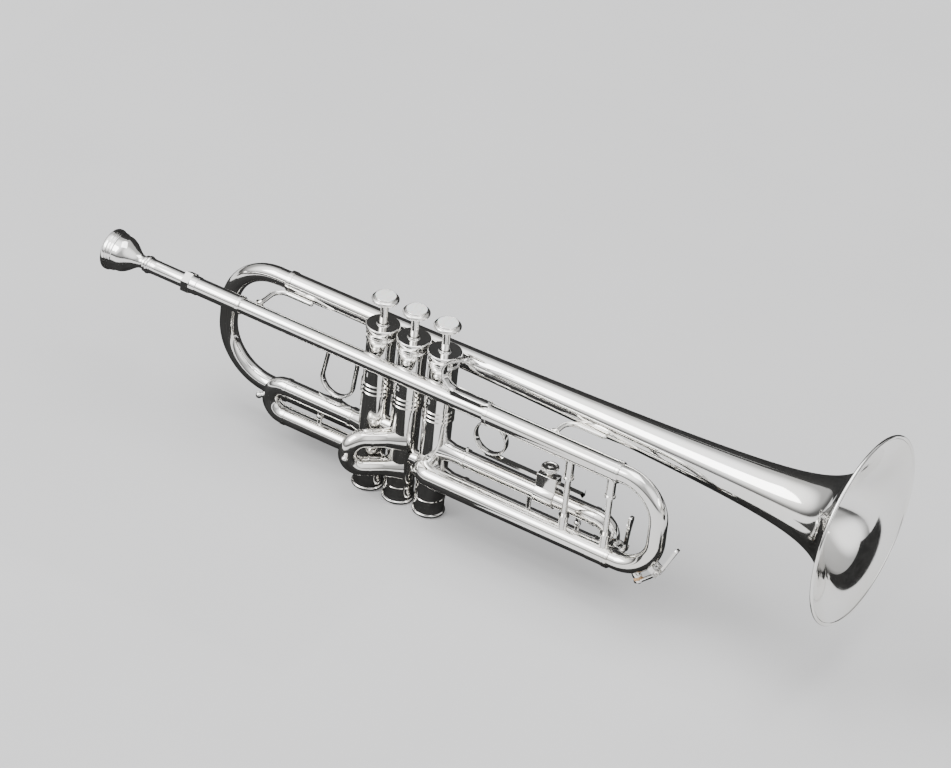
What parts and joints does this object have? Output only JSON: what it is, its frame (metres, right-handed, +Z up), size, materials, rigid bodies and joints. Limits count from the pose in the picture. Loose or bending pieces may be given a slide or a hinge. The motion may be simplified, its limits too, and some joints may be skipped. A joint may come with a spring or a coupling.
{
  "type": "trumpet",
  "caption": "Silver-plated piston-valve trumpet with flared bell, pearl finger buttons, pull-out tuning slides, sprung water keys and removable mouthpiece.",
  "frame": {"origin": "on the middle valve's axis at the underside of its bottom cap", "axes": "+X along the tubes and out of the bell, +Y to the player's left, +Z up along the valves"},
  "size_m": [0.5295, 0.1238, 0.1707],
  "materials": {
    "silver_plate": "polished silver plate",
    "valve_alloy": "fine ground nickel alloy",
    "spring_steel": "bright drawn wire",
    "button_pearl": "white pearl in a plated seat",
    "cork": "natural cork",
    "felt": "pressed felt",
    "guide_plastic": "moulded"
  },
  "bodies": {
    "horn": {"valve_casing_1": "silver_plate", "valve_casing_2": "silver_plate", "valve_casing_3": "silver_plate", "top_caps": "silver_plate", "bottom_caps": "silver_plate", "valve_guides": "guide_plastic", "cap_felts": "felt", "valve_links": "silver_plate", "mouthpiece_receiver": "silver_plate", "leadpipe": "silver_plate", "upper_slide_sleeve": "silver_plate", "lower_slide_sleeve": "silver_plate", "sleeve_brace": "silver_plate", "bell_flare": "silver_plate", "bell_throat": "silver_plate", "bell_stem": "silver_plate", "bell_bow": "silver_plate", "bell_return_tube": "silver_plate", "rear_brace": "silver_plate", "front_brace": "silver_plate", "pinky_hook": "silver_plate", "first_slide_inner_tubes": "silver_plate", "second_slide_sleeves": "silver_plate", "third_slide_inner_tubes": "silver_plate"},
    "mouthpiece": {"mouthpiece": "silver_plate"},
    "valve_1": {"piston_1": "valve_alloy", "valve_spring_1": "spring_steel", "valve_stem_1": "silver_plate", "finger_button_1": "button_pearl"},
    "valve_2": {"piston_2": "valve_alloy", "valve_spring_2": "spring_steel", "valve_stem_2": "silver_plate", "finger_button_2": "button_pearl"},
    "valve_3": {"piston_3": "valve_alloy", "valve_spring_3": "spring_steel", "valve_stem_3": "silver_plate", "finger_button_3": "button_pearl"},
    "main_slide": {"main_slide_legs": "silver_plate", "main_slide_crook": "silver_plate", "main_slide_brace": "silver_plate", "main_key_saddle": "silver_plate", "main_key_screw": "spring_steel"},
    "main_water_key": {"main_key_lever": "silver_plate", "main_key_cork": "cork", "main_key_spring": "spring_steel"},
    "first_slide": {"first_slide_sleeves": "silver_plate", "first_slide_crook": "silver_plate", "thumb_saddle": "silver_plate"},
    "second_slide": {"second_slide_legs": "silver_plate", "second_slide_crook": "silver_plate"},
    "third_slide": {"third_slide_sleeves": "silver_plate", "third_slide_crook": "silver_plate", "ring_clamp": "silver_plate", "third_key_saddle": "silver_plate", "third_key_screw": "spring_steel"},
    "third_water_key": {"third_key_lever": "silver_plate", "third_key_cork": "cork", "third_key_spring": "spring_steel"},
    "third_ring": {"finger_ring": "silver_plate"},
    "thumbscrew": {"clamp_thumbscrew": "silver_plate"}
  },
  "joints": [
    {"name": "mouthpiece_pull", "type": "slide", "parent": "horn", "child": "mouthpiece", "axis": [-1, 0, 0], "range_m": [0, 0.03]},
    {"name": "valve_1_press", "type": "slide", "parent": "horn", "child": "valve_1", "axis": [0, 0, -1], "range_m": [0, 0.015], "stiffness_N_per_m": 100, "springref_m": -0.035, "deforming": ["valve_spring_1"]},
    {"name": "valve_2_press", "type": "slide", "parent": "horn", "child": "valve_2", "axis": [0, 0, -1], "range_m": [0, 0.015], "stiffness_N_per_m": 100, "springref_m": -0.035, "deforming": ["valve_spring_2"]},
    {"name": "valve_3_press", "type": "slide", "parent": "horn", "child": "valve_3", "axis": [0, 0, -1], "range_m": [0, 0.015], "stiffness_N_per_m": 100, "springref_m": -0.035, "deforming": ["valve_spring_3"]},
    {"name": "main_slide_pull", "type": "slide", "parent": "horn", "child": "main_slide", "axis": [1, 0, 0], "range_m": [0, 0.045]},
    {"name": "main_key_press", "type": "hinge", "parent": "main_slide", "child": "main_water_key", "pos_m": [0.19684, -0.0165, 0.04377], "axis": [0, -1, 0], "range_deg": [0, 15], "stiffness_Nm_per_rad": 0.02, "springref_deg": -34.38},
    {"name": "first_slide_pull", "type": "slide", "parent": "horn", "child": "first_slide", "axis": [-1, 0, 0], "range_m": [0, 0.04]},
    {"name": "second_slide_pull", "type": "slide", "parent": "horn", "child": "second_slide", "axis": [-0.766, -0.6428, 0], "range_m": [0, 0.008]},
    {"name": "third_slide_pull", "type": "slide", "parent": "horn", "child": "third_slide", "axis": [1, 0, 0], "range_m": [0, 0.045]},
    {"name": "third_key_press", "type": "hinge", "parent": "third_slide", "child": "third_water_key", "pos_m": [0.16259, 0, 0.03512], "axis": [0, -1, 0], "range_deg": [0, 15], "stiffness_Nm_per_rad": 0.02, "springref_deg": -34.38},
    {"name": "ring_adjust", "type": "slide", "parent": "third_slide", "child": "third_ring", "axis": [1, 0, 0], "range_m": [-0.015, 0.018]},
    {"name": "thumbscrew_turn", "type": "hinge", "parent": "third_slide", "child": "thumbscrew", "pos_m": [0.1055, 0, 0.066], "axis": [0, 0, 1], "continuous": true}
  ]
}
